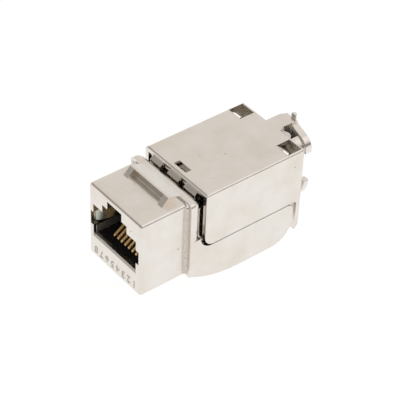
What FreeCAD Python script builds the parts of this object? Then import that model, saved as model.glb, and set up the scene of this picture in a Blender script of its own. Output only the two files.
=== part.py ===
"""Keystone jack: shielded, tool-free, with a hinged cover over its wire terminals.

Drawing axes, in millimetres: X to the right, Y from the nose face to the cable
end, Z up from the underside of the nose. Every piece is then placed so that the
origin lies under the middle of the jack, level with its belly.
"""
import FreeCAD, Part
import Sketcher
import math
import os
import re

doc = FreeCAD.newDocument("KeystoneJack")

SIZES = {
    # die-cast nose and the collar behind it
    "nose_width": 14.5, "nose_height": 15.5, "nose_length": 9.65, "nose_edge": 0.6,
    "collar_width": 16.8, "collar_step": 0.4, "collar_length": 2.25, "collar_edge": 0.9,
    "collar_rear_edge": 1.5, "face_wall": 1.0, "inner_fillet": 0.5, "fillet_land": 0.1,
    # opening for the plug
    "plug_width": 12.0, "plug_floor": 4.8, "plug_roof": 11.5, "plug_depth": 12.5,
    "step_width": 6.85, "step_roof": 13.05, "notch_width": 4.0, "notch_roof": 14.7,
    "notch_depth": 9.5,
    "spring_pocket_reach": 0.75, "spring_pocket_floor": 6.9, "spring_pocket_roof": 9.7,
    "spring_pocket_end": 8.3, "sill_bevel": 0.35,
    # fixed catch ridge on the nose
    "ridge_face": 7.15, "ridge_rise": 1.35, "ridge_half": 4.1, "gusset_half": 5.3,
    "gusset_start": 5.75, "ridge_crest": 0.35, "ridge_foot": 10.35,
    # tray that carries the board and the wire terminals
    "belly_depth": 2.7, "belly_start": 20.5, "belly_end": 28.0, "belly_curve": 21.8,
    "heel_curve": 4.7, "tray_wall": 1.0, "seam_height": 5.3, "seam_gap": 0.15,
    "tray_front_curve": 2.5, "tray_rear_corner": 1.5,
    "ledge_width": 1.0, "ledge_height": 0.8,
    # half round trough for the cable
    "outlet_height": 6.5, "outlet_bore": 5.0, "trough_wall": 0.6, "flange_rise": 0.5,
    "trough_end": 38.0, "trough_flange": 1.0, "trough_corner": 0.3,
    # hinged cover
    "cover_start": 12.8, "cover_end": 34.1, "cover_top": 16.49, "cover_wall": 0.8,
    "cover_edge": 0.5, "cover_corner": 2.0, "leg_depth": 1.2, "leg_width": 1.8,
    "rear_arch_roof": 12.4, "rear_arch_corner": 3.0, "slot_corner": 0.5, "leg_corner": 0.9,
    # hinge across the front of the cover
    "hinge_depth": 13.6, "hinge_height": 14.9, "lug_radius": 1.5, "lug_nose": 0.45,
    "knuckle_radius": 0.7,
    "pin_radius": 0.4, "pin_clearance": 0.04, "pin_end": 5.9,
    "left_lug_start": -6.2, "left_lug_end": -3.4,
    "middle_lug_start": -1.5, "middle_lug_end": 1.5,
    "right_lug_start": 3.0, "right_lug_end": 6.0,
    "knuckle_gap": 0.2, "beam_height": 0.7, "beam_lift": 0.05, "pin_recess": 0.1,
    "web_thick": 0.6, "web_top": 13.3,
    # openings in the cover's top plate
    "front_slot_start": 13.75, "front_slot_end": 15.0, "front_slot_left": -1.85,
    "front_slot_right": 1.4, "front_ramp_left": -1.4, "front_ramp_length": 0.6,
    "window_start": 30.75, "window_rim": 0.3, "window_inner": 4.75, "window_outer": 8.0,
    "ramp_length": 0.85, "ramp_drop": 0.35, "ramp_margin": 0.05, "right_ramp_margin": 0.15,
    "left_ramp_outer": 7.0, "left_ramp_inner": 5.05,
    # cable tongue and flank behind the cover
    "tongue_left": -1.8, "tongue_right": 1.7, "tongue_length": 4.4, "nub_length": 0.6,
    "tongue_cut_width": 0.6, "tongue_cut_length": 1.3,
    "nub_left": -0.1, "nub_right": 1.0, "nub_rise": 0.75, "nub_corner": 0.35,
    "flank_reach": 5.65, "flank_bottom": 12.2, "flank_shoulder": 13.3, "flank_bend": 2.6,
    "flank_bend_start": 3.7, "flank_bend_height": 15.2, "flank_root": 0.8,
    "flank_wall": 0.8, "neck_drop": 0.35, "flank_band": 1.3,
    "end_wall_bottom": 12.8,
    "tie_slot_start": 34.9, "tie_slot_length": 2.3, "tie_slot_left": 1.4, "tie_slot_right": 3.4,
    "tie_arch": 0.7,
    # plastic insert with the eight contacts
    "insert_wall": 0.45, "insert_bottom": 0.9, "insert_end": 14.0, "insert_fit": 0.05,
    "contact_pitch": 1.016, "contact_width": 0.45, "contact_thick": 0.35,
    "contact_level": 4.0, "contact_bend": 0.5, "contact_front": 3.2, "contact_run": 3.0,
    "contact_lift": 2.05, "contact_tail": 14.9, "contact_slot_gap": 0.05,
    "spring_start": 0.9, "spring_length": 7.0, "spring_bow": 0.95, "spring_thick": 0.22,
    "spring_play": 0.05, "spring_height": 2.4,
    # board, terminal block, terminals and wire manager
    "board_top": 3.6, "board_thick": 1.2, "board_start": 14.2, "board_end": 30.8,
    "board_gap": 0.4, "hole_play": 0.06, "tail_length": 0.6,
    "block_start": 16.5, "block_end": 30.4, "block_gap": 0.5, "block_base": 6.4,
    "block_top": 9.7, "channel_half": 3.4,
    "blade_inset": 1.7, "blade_first": 19.0, "blade_pitch": 3.0, "blade_width": 1.8,
    "blade_thick": 0.4, "blade_top": 11.5, "blade_slot": 0.4, "blade_slot_depth": 3.2,
    "blade_tail_half": 0.3, "blade_lift": 0.1, "blade_shoulder": 0.4, "blade_slope": 0.3,
    "blade_mouth": 0.2, "blade_mouth_depth": 0.5,
    "blade_play": 0.06, "wire_slot": 1.1, "wire_slot_depth": 2.2,
    "manager_start": 17.3, "manager_end": 30.6, "manager_gap": 0.5,
    "manager_bottom": 10.1, "groove_half": 0.55, "groove_depth": 2.3, "groove_end_wall": 0.8,
    "manager_bore": 3.2,
    # spring-steel latch under the nose
    "latch_width": 8.0, "latch_steel": 0.4, "latch_root": 1.6, "latch_root_height": 0.6,
    "latch_play": 0.12, "latch_bend": 2.4, "latch_drop": 0.35, "latch_low": 2.1,
    "latch_low_place": 8.0, "latch_tip": 8.8, "latch_tip_drop": 1.5,
}

sheet = doc.addObject("Spreadsheet::Sheet", "Sizes")
for row, (alias, value) in enumerate(SIZES.items(), start=1):
    sheet.set("A%d" % row, alias)
    sheet.set("B%d" % row, str(value))
    sheet.setAlias("B%d" % row, alias)
doc.recompute()

# sizes that follow from the driving ones
COLLAR_REAR = "(nose_length + collar_length)"
TRAY_END = "(belly_end + heel_curve)"
TONGUE_END = "(cover_end + tongue_length)"
ROOF = "(cover_top - cover_wall)"
INSERT_HALF = "(plug_width / 2 + insert_wall)"
INSERT_TOP = "(plug_roof + insert_wall)"
CAVITY_HALF = "(%s + insert_fit)" % INSERT_HALF
CAVITY_TOP = "(%s + insert_fit)" % INSERT_TOP
POCKET_HALF = "(plug_width / 2 + spring_pocket_reach)"
TROUGH_RADIUS = "(outlet_bore + trough_wall)"
FLANGE_RADIUS = "(outlet_bore + trough_wall + flange_rise)"
SIDE_INNER = "(collar_width / 2 - tray_wall)"
COVER_INNER = "(collar_width / 2 - cover_wall)"
TRAY_TOP = "(seam_height - seam_gap)"
BELLY_CENTRE = "(belly_curve - belly_depth)"
BEAM_BOTTOM = "(%s + beam_lift)" % CAVITY_TOP
BEAM_TOP = "(%s + beam_height)" % BEAM_BOTTOM
RIDGE_TOP = "(nose_height + ridge_rise)"
COLLAR_TOP = "(nose_height + collar_step)"
INNER_FILLET = "min(inner_fillet; (collar_width - nose_width) / 2 - fillet_land)"
BOARD_HALF = "(%s - board_gap)" % SIDE_INNER
BLOCK_HALF = "(%s - block_gap)" % SIDE_INNER
MANAGER_HALF = "(%s - manager_gap)" % COVER_INNER
BLADE_ROW = "(%s - blade_inset)" % BLOCK_HALF
PLANES = {"top": "XY_Plane", "front": "XZ_Plane", "side": "YZ_Plane"}


def linked(text):
    """An expression with every size name pointing at the sheet."""
    names = r"\b(%s)\b" % "|".join(sorted(SIZES, key=len, reverse=True))
    return re.sub(names, r"Sizes.\1", str(text))


def number(text):
    """The present value of an expression."""
    return float(sheet.evalExpression(linked(text)))


def place(piece):
    """Bind a piece to the common origin under the middle of the jack."""
    piece.setExpression("Placement.Base.y", linked("-(%s + nub_length) / 2" % TONGUE_END))
    piece.setExpression("Placement.Base.z", linked("belly_depth"))


def new_body(label):
    """An empty body, already at its place."""
    body = doc.addObject("PartDesign::Body", label)
    body.Label = label
    place(body)
    return body


def new_sketch(body, plane, level):
    """A sketch square to an axis; the level is the coordinate along that axis."""
    sketch = body.newObject("Sketcher::SketchObject", "Sketch")
    role = PLANES[plane]
    origin = [item for item in body.Origin.OriginFeatures if item.Role == role][0]
    sketch.AttachmentSupport = [(origin, "")]
    sketch.MapMode = "FlatFace"
    sign = "-" if plane == "front" else ""
    sketch.setExpression("AttachmentOffset.Base.z", linked("%s(%s)" % (sign, level)))
    return sketch


def fix_point(sketch, piece, point, corner):
    """Tie one end of an edge to its two coordinates."""
    for axis, text in (("DistanceX", corner[0]), ("DistanceY", corner[1])):
        index = sketch.addConstraint(Sketcher.Constraint(axis, piece, point, number(text)))
        sketch.setExpression("Constraints[%d]" % index, linked(text))


def arc_between(start, end, radius, turn):
    """The short arc from start to end; its centre lies left or right of the way."""
    chord = end - start
    rise = math.sqrt(max(radius ** 2 - chord.Length ** 2 / 4, 0))
    side = FreeCAD.Vector(-chord.y, chord.x, 0).normalize()
    centre = (start + end) / 2 + side * (rise if turn == "left" else -rise)
    circle = Part.Circle(centre, FreeCAD.Vector(0, 0, 1), radius)
    first, last = (start, end) if turn == "left" else (end, start)
    angles = [math.atan2(point.y - centre.y, point.x - centre.x) for point in (first, last)]
    if angles[1] < angles[0]:
        angles[1] += 2 * math.pi
    return Part.ArcOfCircle(circle, angles[0], angles[1])


def draw_loop(sketch, corners):
    """A closed outline; a corner (x, y, radius, turn) is reached along an arc."""
    spots = [FreeCAD.Vector(number(c[0]), number(c[1]), 0) for c in corners]
    edges = []
    for index, corner in enumerate(corners):
        if len(corner) == 2:
            edge = sketch.addGeometry(Part.LineSegment(spots[index - 1], spots[index]))
            edges.append((edge, 1, 2))
        else:
            arc = arc_between(spots[index - 1], spots[index], number(corner[2]), corner[3])
            edge = sketch.addGeometry(arc)
            edges.append((edge, 1, 2) if corner[3] == "left" else (edge, 2, 1))
            rule = sketch.addConstraint(Sketcher.Constraint("Radius", edge, number(corner[2])))
            sketch.setExpression("Constraints[%d]" % rule, linked(corner[2]))
    for index, (edge, first, last) in enumerate(edges):
        after, start = edges[(index + 1) % len(edges)][:2]
        sketch.addConstraint(Sketcher.Constraint("Coincident", edge, last, after, start))
        fix_point(sketch, edge, last, corners[index])


def draw_circle(sketch, corner, radius):
    """A full circle about a centre."""
    middle = FreeCAD.Vector(number(corner[0]), number(corner[1]), 0)
    edge = sketch.addGeometry(Part.Circle(middle, FreeCAD.Vector(0, 0, 1), number(radius)))
    rule = sketch.addConstraint(Sketcher.Constraint("Radius", edge, number(radius)))
    sketch.setExpression("Constraints[%d]" % rule, linked(radius))
    fix_point(sketch, edge, 3, corner)


def box_corners(left, right, low, high):
    """The four corners of an upright rectangle."""
    return [(left, low), (right, low), (right, high), (left, high)]


def extrude(body, kind, plane, start, end, loops, circles=()):
    """Pad or pocket the loops from one coordinate to another along the plane's axis."""
    sketch = new_sketch(body, plane, start)
    for loop in loops:
        draw_loop(sketch, loop)
    for centre, radius in circles:
        draw_circle(sketch, centre, radius)
    doc.recompute()
    before = body.Shape.Volume if body.Tip else 0
    feature = body.newObject("PartDesign::" + kind, kind)
    feature.Profile = sketch
    feature.setExpression("Length", linked("(%s) - (%s)" % (end, start)))
    feature.Reversed = (plane == "front") == (kind == "Pad")
    doc.recompute()
    after = body.Shape.Volume
    grows = after > before if kind == "Pad" else after < before
    if not grows:
        raise RuntimeError("%s changes nothing: %s %s" % (body.Label, kind, sketch.Name))
    return feature


def round_edges(body, radius, chosen):
    """Fillet the edges whose middle point passes the test."""
    base = body.Tip
    names = []
    for index, edge in enumerate(base.Shape.Edges, start=1):
        middle = edge.valueAt((edge.FirstParameter + edge.LastParameter) / 2)
        if chosen(middle, edge):
            names.append("Edge%d" % index)
    if not names:
        raise RuntimeError("%s has no edge to round" % body.Label)
    fillet = body.newObject("PartDesign::Fillet", "Fillet")
    fillet.Base = (base, names)
    fillet.setExpression("Radius", linked(radius))
    doc.recompute()
    return fillet


def near(one, other):
    """Whether two coordinates agree within a hundredth."""
    return abs(one - number(other)) < 0.01


def plug_outline():
    """The plug opening: contact floor, spring pockets, shoulders, step and notch."""
    right = [
        ("plug_width / 2", "plug_floor"),
        ("plug_width / 2", "spring_pocket_floor"),
        (POCKET_HALF, "spring_pocket_floor"),
        (POCKET_HALF, "spring_pocket_roof"),
        ("plug_width / 2", "spring_pocket_roof"),
        ("plug_width / 2", "plug_roof"),
        ("step_width / 2", "plug_roof"),
        ("step_width / 2", "step_roof"),
        ("notch_width / 2", "step_roof"),
        ("notch_width / 2", "notch_roof"),
    ]
    left = [("-(%s)" % x, z) for x, z in reversed(right)]
    return right + left


def contact_place(index):
    """The X coordinate of one of the eight contacts."""
    return "(%s * contact_pitch)" % (index - 3.5)


def blade_place(index):
    """The X and Y coordinates of one of the eight wire terminals."""
    side = "-" if index < 4 else ""
    return "(%s%s)" % (side, BLADE_ROW), "(blade_first + %d * blade_pitch)" % (index % 4)


def blade_box(index, half_x, half_y):
    """A rectangle about one wire terminal, seen from above."""
    x, y = blade_place(index)
    return [("%s - %s" % (x, half_x), "%s - %s" % (y, half_y)),
            ("%s + %s" % (x, half_x), "%s - %s" % (y, half_y)),
            ("%s + %s" % (x, half_x), "%s + %s" % (y, half_y)),
            ("%s - %s" % (x, half_x), "%s + %s" % (y, half_y))]


def housing_solid(body):
    """Nose, collar, catch ridge and tray as one outer form."""
    extrude(body, "Pad", "front", "0", COLLAR_REAR,
            [box_corners("-nose_width / 2", "nose_width / 2", "0", "nose_height")])
    round_edges(body, "nose_edge", lambda at, edge: near(at.y, "0")
                or near(abs(at.x), "nose_width / 2") and at.y > 0.01)
    half = "(collar_width / 2)"
    extrude(body, "Pad", "front", "nose_length", COLLAR_REAR,
            [box_corners("-" + half, half, "0", COLLAR_TOP)])
    round_edges(body, "collar_edge", lambda at, edge: near(at.z, COLLAR_TOP)
                and near(abs(at.x), half))
    round_edges(body, "collar_rear_edge", lambda at, edge: near(at.z, COLLAR_TOP)
                and near(at.y, COLLAR_REAR))
    round_edges(body, INNER_FILLET, lambda at, edge: near(at.y, "nose_length")
                and near(abs(at.x), "nose_width / 2"))
    tray = [
        ("nose_length", "0"),
        ("belly_start - sqrt(belly_curve ^ 2 - %s ^ 2)" % BELLY_CENTRE, "0"),
        ("belly_start", "-belly_depth", "belly_curve", "left"),
        ("belly_end", "-belly_depth"),
        (TRAY_END, "heel_curve - belly_depth", "heel_curve", "left"),
        (TRAY_END, "%s - tray_rear_corner" % TRAY_TOP),
        ("%s - tray_rear_corner" % TRAY_END, TRAY_TOP, "tray_rear_corner", "left"),
        ("%s + tray_front_curve" % COLLAR_REAR, TRAY_TOP),
        (COLLAR_REAR, "%s + tray_front_curve" % TRAY_TOP, "tray_front_curve", "right"),
        ("nose_length", "%s + tray_front_curve" % TRAY_TOP),
    ]
    extrude(body, "Pad", "side", "-" + half, half, [tray])
    gusset = [
        ("gusset_start", "nose_height - nose_edge"),
        ("ridge_foot", "nose_height - nose_edge"),
        ("ridge_foot", COLLAR_TOP),
        ("ridge_face + ridge_crest", RIDGE_TOP),
        ("ridge_face", RIDGE_TOP),
        ("gusset_start", "nose_height"),
    ]
    extrude(body, "Pad", "side", "-gusset_half", "gusset_half", [gusset])
    extrude(body, "Pocket", "side", "-ridge_half", "ridge_half",
            [box_corners("gusset_start - ridge_rise", "ridge_face", "nose_height",
                         "%s + ridge_rise" % RIDGE_TOP)])


def housing_hollows(body):
    """Plug opening, insert cavity, board tray and the latch slot."""
    extrude(body, "Pocket", "front", "face_wall", COLLAR_REAR,
            [box_corners("-" + CAVITY_HALF, CAVITY_HALF, "insert_bottom - insert_fit", CAVITY_TOP)])
    extrude(body, "Pocket", "front", "0", "face_wall", [plug_outline()])
    extrude(body, "Pocket", "front", "face_wall", "notch_depth",
            [box_corners("-step_width / 2", "step_width / 2", "plug_roof", "step_roof")])
    extrude(body, "Pocket", "front", "face_wall", "notch_depth",
            [box_corners("-notch_width / 2", "notch_width / 2", "plug_roof", "notch_roof")])
    extrude(body, "Pocket", "front", "face_wall", "spring_pocket_end",
            [box_corners("-" + POCKET_HALF, POCKET_HALF, "spring_pocket_floor",
                         "spring_pocket_roof")])
    sill = [("0", "plug_floor - sill_bevel"), ("sill_bevel", "plug_floor"), ("0", "plug_floor")]
    extrude(body, "Pocket", "side", "-plug_width / 2", "plug_width / 2", [sill])
    floor_curve = "(belly_curve - tray_wall)"
    floor_height = "(%s - sqrt(%s ^ 2 - (belly_start - %s) ^ 2))" % (
        BELLY_CENTRE, floor_curve, COLLAR_REAR)
    well = [
        (COLLAR_REAR, floor_height),
        ("belly_start", "tray_wall - belly_depth", floor_curve, "left"),
        ("belly_end", "tray_wall - belly_depth"),
        ("%s - tray_wall" % TRAY_END, "heel_curve - belly_depth", "heel_curve - tray_wall", "left"),
        ("%s - tray_wall" % TRAY_END, COLLAR_TOP),
        (COLLAR_REAR, COLLAR_TOP),
    ]
    extrude(body, "Pocket", "side", "-" + SIDE_INNER, SIDE_INNER, [well])
    extrude(body, "Pocket", "top", "0", "insert_bottom",
            [box_corners("-(latch_width / 2 + latch_play)", "latch_width / 2 + latch_play",
                         "latch_root - latch_play", "latch_root + latch_steel + latch_play")])


def housing_ledges(body):
    """Two ledges inside the tray that carry the board."""
    low = "(board_top - board_thick - ledge_height)"
    loops = []
    for side in ("-", ""):
        ends = ["%s(%s)" % (side, SIDE_INNER), "%s(%s - ledge_width)" % (side, SIDE_INNER)]
        if side == "":
            ends.reverse()
        loops.append(box_corners(ends[0], ends[1], low, "%s + ledge_height" % low))
    extrude(body, "Pad", "front", "insert_end + insert_fit", "%s - tray_wall" % TRAY_END, loops)


def housing_hinge(body):
    """A beam behind the collar with the knuckles that hold the hinge pin."""
    beam = box_corners(COLLAR_REAR, "hinge_depth + knuckle_radius", BEAM_BOTTOM, BEAM_TOP)
    extrude(body, "Pad", "side", "-" + BOARD_HALF, BOARD_HALF, [beam])
    knuckle = [
        ("hinge_depth + knuckle_radius", BEAM_BOTTOM),
        ("hinge_depth + knuckle_radius", "hinge_height"),
        ("hinge_depth", "hinge_height + knuckle_radius", "knuckle_radius", "left"),
        ("hinge_depth - knuckle_radius", "hinge_height", "knuckle_radius", "left"),
        ("hinge_depth - knuckle_radius", BEAM_BOTTOM),
    ]
    spans = [("left_lug_end + knuckle_gap", "middle_lug_start - knuckle_gap"),
             ("middle_lug_end + knuckle_gap", "right_lug_start - knuckle_gap")]
    for start, end in spans:
        extrude(body, "Pad", "side", start, end, [knuckle])
    extrude(body, "Pocket", "side", spans[0][0], spans[1][1], [],
            [(("hinge_depth", "hinge_height"), "pin_radius")])


def housing_webs(body):
    """Two walls behind the collar that shield the insert where the cover leaves a gap."""
    outer = "(%s + web_thick)" % CAVITY_HALF
    low = "(%s - web_thick)" % TRAY_TOP
    loops = [box_corners("-" + outer, "-" + CAVITY_HALF, low, "web_top"),
             box_corners(CAVITY_HALF, outer, low, "web_top")]
    extrude(body, "Pad", "front", COLLAR_REAR, "insert_end", loops)


def housing_trough(body):
    """The lower half of the cable outlet, a trough with a flange."""
    middle = ("0", "outlet_height")
    root = "(%s - tray_wall)" % TRAY_END
    extrude(body, "Pad", "front", root, "trough_end", [], [(middle, TROUGH_RADIUS)])
    extrude(body, "Pad", "front", "trough_end - trough_flange", "trough_end", [],
            [(middle, FLANGE_RADIUS)])
    extrude(body, "Pocket", "front", root, "trough_end", [], [(middle, "outlet_bore")])
    brim = "outlet_height"
    extrude(body, "Pocket", "front", root, "trough_end",
            [box_corners("-nose_width", "nose_width", brim, COLLAR_TOP)])
    round_edges(body, "trough_corner", lambda at, edge: near(at.z, brim)
                and (near(at.y, "trough_end - trough_flange / 2")
                     or abs(at.x) > number(TROUGH_RADIUS) - 0.01 and at.y > number("trough_end") - 0.01))


def front_housing():
    """The die casting: nose, collar, tray, hinge knuckles and cable trough."""
    body = new_body("front_housing")
    housing_solid(body)
    housing_hollows(body)
    housing_ledges(body)
    housing_webs(body)
    housing_hinge(body)
    housing_trough(body)
    return body


def cover_shell(body):
    """The folded outer shape: top, sides and rear legs, hollow below."""
    half = "(collar_width / 2)"
    side = [
        ("cover_start", "seam_height + cover_corner"),
        ("cover_start + cover_corner", "seam_height", "cover_corner", "left"),
        ("cover_end - cover_wall - slot_corner", "seam_height"),
        ("cover_end - cover_wall", "seam_height - slot_corner", "slot_corner", "right"),
        ("cover_end - cover_wall", "-leg_depth"),
        ("cover_end", "leg_corner - leg_depth"),
        ("cover_end", "cover_top"),
        ("cover_start", "cover_top"),
    ]
    extrude(body, "Pad", "side", "-" + half, half, [side])
    round_edges(body, "cover_edge", lambda at, edge: near(at.z, "cover_top")
                and not near(at.y, "cover_end"))
    extrude(body, "Pocket", "front", "cover_start", "cover_end - cover_wall",
            [box_corners("-" + COVER_INNER, COVER_INNER, "-leg_depth", ROOF)])
    reach = "(collar_width / 2 - leg_width)"
    arch = [
        ("-" + reach, "-leg_depth"),
        (reach, "-leg_depth"),
        (reach, "rear_arch_roof - rear_arch_corner"),
        ("%s - rear_arch_corner" % reach, "rear_arch_roof", "rear_arch_corner", "left"),
        ("rear_arch_corner - %s" % reach, "rear_arch_roof"),
        ("-" + reach, "rear_arch_roof - rear_arch_corner", "rear_arch_corner", "left"),
    ]
    extrude(body, "Pocket", "front", "cover_end - cover_wall", "cover_end", [arch])


def cover_lugs(body):
    """Three hinge lugs under the front edge, and the bore for the pin."""
    lug = [
        ("hinge_depth + lug_radius", ROOF),
        ("cover_start + cover_edge", ROOF),
        ("cover_start", "cover_top - cover_edge"),
        ("hinge_depth - lug_radius", "hinge_height + lug_nose"),
        ("hinge_depth - lug_radius", "hinge_height"),
        ("hinge_depth", "hinge_height - lug_radius", "lug_radius", "left"),
        ("hinge_depth + lug_radius", "hinge_height", "lug_radius", "left"),
    ]
    spans = [("left_lug_start", "left_lug_end"), ("middle_lug_start", "middle_lug_end"),
             ("right_lug_start", "right_lug_end")]
    for start, end in spans:
        extrude(body, "Pad", "side", start, end, [lug])
    extrude(body, "Pocket", "side", "-collar_width / 2", "right_lug_end", [],
            [(("hinge_depth", "hinge_height"), "pin_radius + pin_clearance")])


def cut_window(body, left, right, start, end, ramp_left, ramp_right, length):
    """An opening whose front edge keeps a rounded lip that slopes down into it."""
    width = "(%s - (%s))" % (ramp_right, ramp_left)
    curve = "((%s ^ 2 / 4 + %s ^ 2) / (2 * %s))" % (width, length, length)
    hole = [
        (left, end), (left, start), (ramp_left, start),
        ("(%s + %s) / 2" % (ramp_left, ramp_right), "%s + %s" % (start, length), curve, "right"),
        (ramp_right, start, curve, "right"),
        (right, start), (right, end),
    ]
    extrude(body, "Pocket", "top", "%s - cover_wall" % ROOF, "cover_top", [hole])
    slope = [(start, "cover_top"), ("%s + %s" % (start, length), "cover_top"),
             ("%s + %s" % (start, length), "cover_top - ramp_drop")]
    extrude(body, "Pocket", "side", ramp_left, ramp_right, [slope])


def cover_windows(body):
    """The slot over the middle lug and the two windows at the rear corners."""
    cut_window(body, "front_slot_left", "front_slot_right", "front_slot_start", "front_slot_end",
               "front_ramp_left", "front_slot_right - ramp_margin", "front_ramp_length")
    rear = "(cover_end - window_rim)"
    cut_window(body, "window_inner", "window_outer", "window_start", rear,
               "window_inner + ramp_margin", "window_outer - right_ramp_margin", "ramp_length")
    cut_window(body, "-window_outer", "-window_inner", "window_start", rear,
               "-left_ramp_outer", "-left_ramp_inner", "ramp_length")


def flank_profile(drop):
    """The bent flank beside the tongue, seen from the rear."""
    top = "(cover_top - %s)" % drop
    reach = "(flank_reach - %s)" % drop
    bend = "(flank_bend_height - %s)" % drop
    return [
        ("flank_root", "%s - flank_wall" % top),
        ("flank_bend_start", "%s - flank_wall" % bend),
        ("%s - flank_wall" % reach, "flank_shoulder - %s" % drop,
         "flank_bend - flank_wall", "right"),
        ("%s - flank_wall" % reach, "flank_bottom"),
        (reach, "flank_bottom"),
        (reach, "flank_shoulder - %s" % drop),
        ("flank_bend_start", bend, "flank_bend", "left"),
        ("flank_root", top),
    ]


def cover_outlet(body):
    """The tongue with its nub, the flank with its end wall, and the slot for the tie."""
    root = "(cover_end - cover_wall)"
    tongue = [
        ("tongue_left", root), ("tongue_right", root), ("tongue_right", TONGUE_END),
        ("tongue_left + tongue_cut_width", TONGUE_END),
        ("tongue_left", "%s - tongue_cut_length" % TONGUE_END),
    ]
    extrude(body, "Pad", "top", ROOF, "cover_top", [tongue])
    extrude(body, "Pad", "front", root, TONGUE_END, [flank_profile("neck_drop")])
    band = "(%s - flank_band)" % TONGUE_END
    extrude(body, "Pad", "front", band, TONGUE_END, [flank_profile("0")])
    wall = [
        ("tongue_left + tongue_cut_width", "end_wall_bottom"),
        ("flank_reach - flank_wall / 2", "end_wall_bottom"),
        ("flank_reach - flank_wall / 2", "flank_shoulder"),
        ("flank_bend_start", "flank_bend_height - flank_wall / 2"),
        ("tongue_right", ROOF),
        ("tongue_left + tongue_cut_width", ROOF),
    ]
    extrude(body, "Pad", "front", band, TONGUE_END, [wall])
    nub_end = "(%s + nub_length)" % TONGUE_END
    nub = [
        ("nub_left", TONGUE_END), ("nub_right", TONGUE_END),
        ("nub_right", "%s - nub_corner" % nub_end), ("nub_right - nub_corner", nub_end),
        ("nub_left + nub_corner", nub_end), ("nub_left", "%s - nub_corner" % nub_end),
    ]
    extrude(body, "Pad", "top", ROOF, "cover_top + nub_rise", [nub])
    slot_end = "(tie_slot_start + tie_slot_length)"
    length = "tie_arch"
    width = "(tie_slot_right - tie_slot_left)"
    curve = "((%s ^ 2 / 4 + %s ^ 2) / (2 * %s))" % (width, length, length)
    hole = [
        ("tie_slot_left", slot_end), ("tie_slot_left", "tie_slot_start"),
        ("(tie_slot_left + tie_slot_right) / 2", "tie_slot_start + " + length, curve, "right"),
        ("tie_slot_right", "tie_slot_start", curve, "right"),
        ("tie_slot_right", slot_end),
    ]
    extrude(body, "Pocket", "top", "flank_shoulder", "cover_top", [hole])


def top_cover():
    """The hinged cover, a folded shell with lugs, windows and cable tongue."""
    body = new_body("top_cover")
    cover_shell(body)
    cover_windows(body)
    cover_lugs(body)
    cover_outlet(body)
    return body


def hinge_pin():
    """The pin, pressed into the knuckles and running in the cover's lugs."""
    pin = doc.addObject("Part::Cylinder", "hinge_pin")
    pin.Label = "hinge_pin"
    pin.setExpression("Radius", linked("pin_radius"))
    pin.setExpression("Height", linked("collar_width / 2 - pin_recess + pin_end"))
    pin.Placement = FreeCAD.Placement(FreeCAD.Vector(), FreeCAD.Rotation(FreeCAD.Vector(0, 1, 0), 90))
    pin.setExpression("Placement.Base.x", linked("pin_recess - collar_width / 2"))
    pin.setExpression("Placement.Base.y",
                      linked("hinge_depth - (%s + nub_length) / 2" % TONGUE_END))
    pin.setExpression("Placement.Base.z", linked("hinge_height + belly_depth"))
    return pin


def jack_insert():
    """The plastic insert: plug chamber with contact slots and spring windows."""
    body = new_body("jack_insert")
    front = "(face_wall + insert_fit)"
    extrude(body, "Pad", "front", front, "insert_end",
            [box_corners("-" + INSERT_HALF, INSERT_HALF, "insert_bottom", INSERT_TOP)])
    extrude(body, "Pocket", "front", front, "plug_depth",
            [box_corners("-plug_width / 2", "plug_width / 2", "plug_floor", "plug_roof")])
    extrude(body, "Pocket", "front", front, "notch_depth",
            [box_corners("-step_width / 2", "step_width / 2", "plug_roof", INSERT_TOP)])
    extrude(body, "Pocket", "front", front, "spring_pocket_end",
            [box_corners("-" + INSERT_HALF, INSERT_HALF, "spring_pocket_floor",
                         "spring_pocket_roof")])
    half = "(contact_width / 2 + contact_slot_gap)"
    low = "(contact_level - contact_thick / 2 - contact_slot_gap)"
    slots = []
    for index in range(8):
        x = contact_place(index)
        slots.append(box_corners("%s - %s" % (x, half), "%s + %s" % (x, half), low, "plug_floor"))
    start = "contact_front - contact_bend - contact_thick"
    extrude(body, "Pocket", "front", start, "insert_end", slots)
    return body


def contact(index):
    """One contact: tail in the board, run along the floor, bend and rising spring."""
    body = new_body("contact_%d" % (index + 1))
    length = "sqrt(contact_run ^ 2 + contact_lift ^ 2)"
    forward = "(contact_run / %s)" % length
    upward = "(contact_lift / %s)" % length
    centre = "(contact_level + contact_bend)"
    inner = "(contact_bend - contact_thick / 2)"
    outer = "(contact_bend + contact_thick / 2)"

    def on_bend(radius):
        return ("contact_front - %s * %s" % (radius, upward),
                "%s + %s * %s" % (centre, radius, forward))

    def at_tip(radius):
        x, z = on_bend(radius)
        return "%s + contact_run" % x, "%s + contact_lift" % z

    tail = "(board_top - board_thick - tail_length)"
    ribbon = [
        ("contact_tail + contact_thick / 2", tail),
        ("contact_tail + contact_thick / 2", "contact_level + contact_thick / 2"),
        ("contact_front", "contact_level + contact_thick / 2"),
        on_bend(inner) + (inner, "right"),
        at_tip(inner),
        at_tip(outer),
        on_bend(outer),
        ("contact_front", "contact_level - contact_thick / 2", outer, "left"),
        ("contact_tail - contact_thick / 2", "contact_level - contact_thick / 2"),
        ("contact_tail - contact_thick / 2", tail),
    ]
    x = contact_place(index)
    extrude(body, "Pad", "side", "%s - contact_width / 2" % x, "%s + contact_width / 2" % x, [ribbon])
    return body


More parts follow.
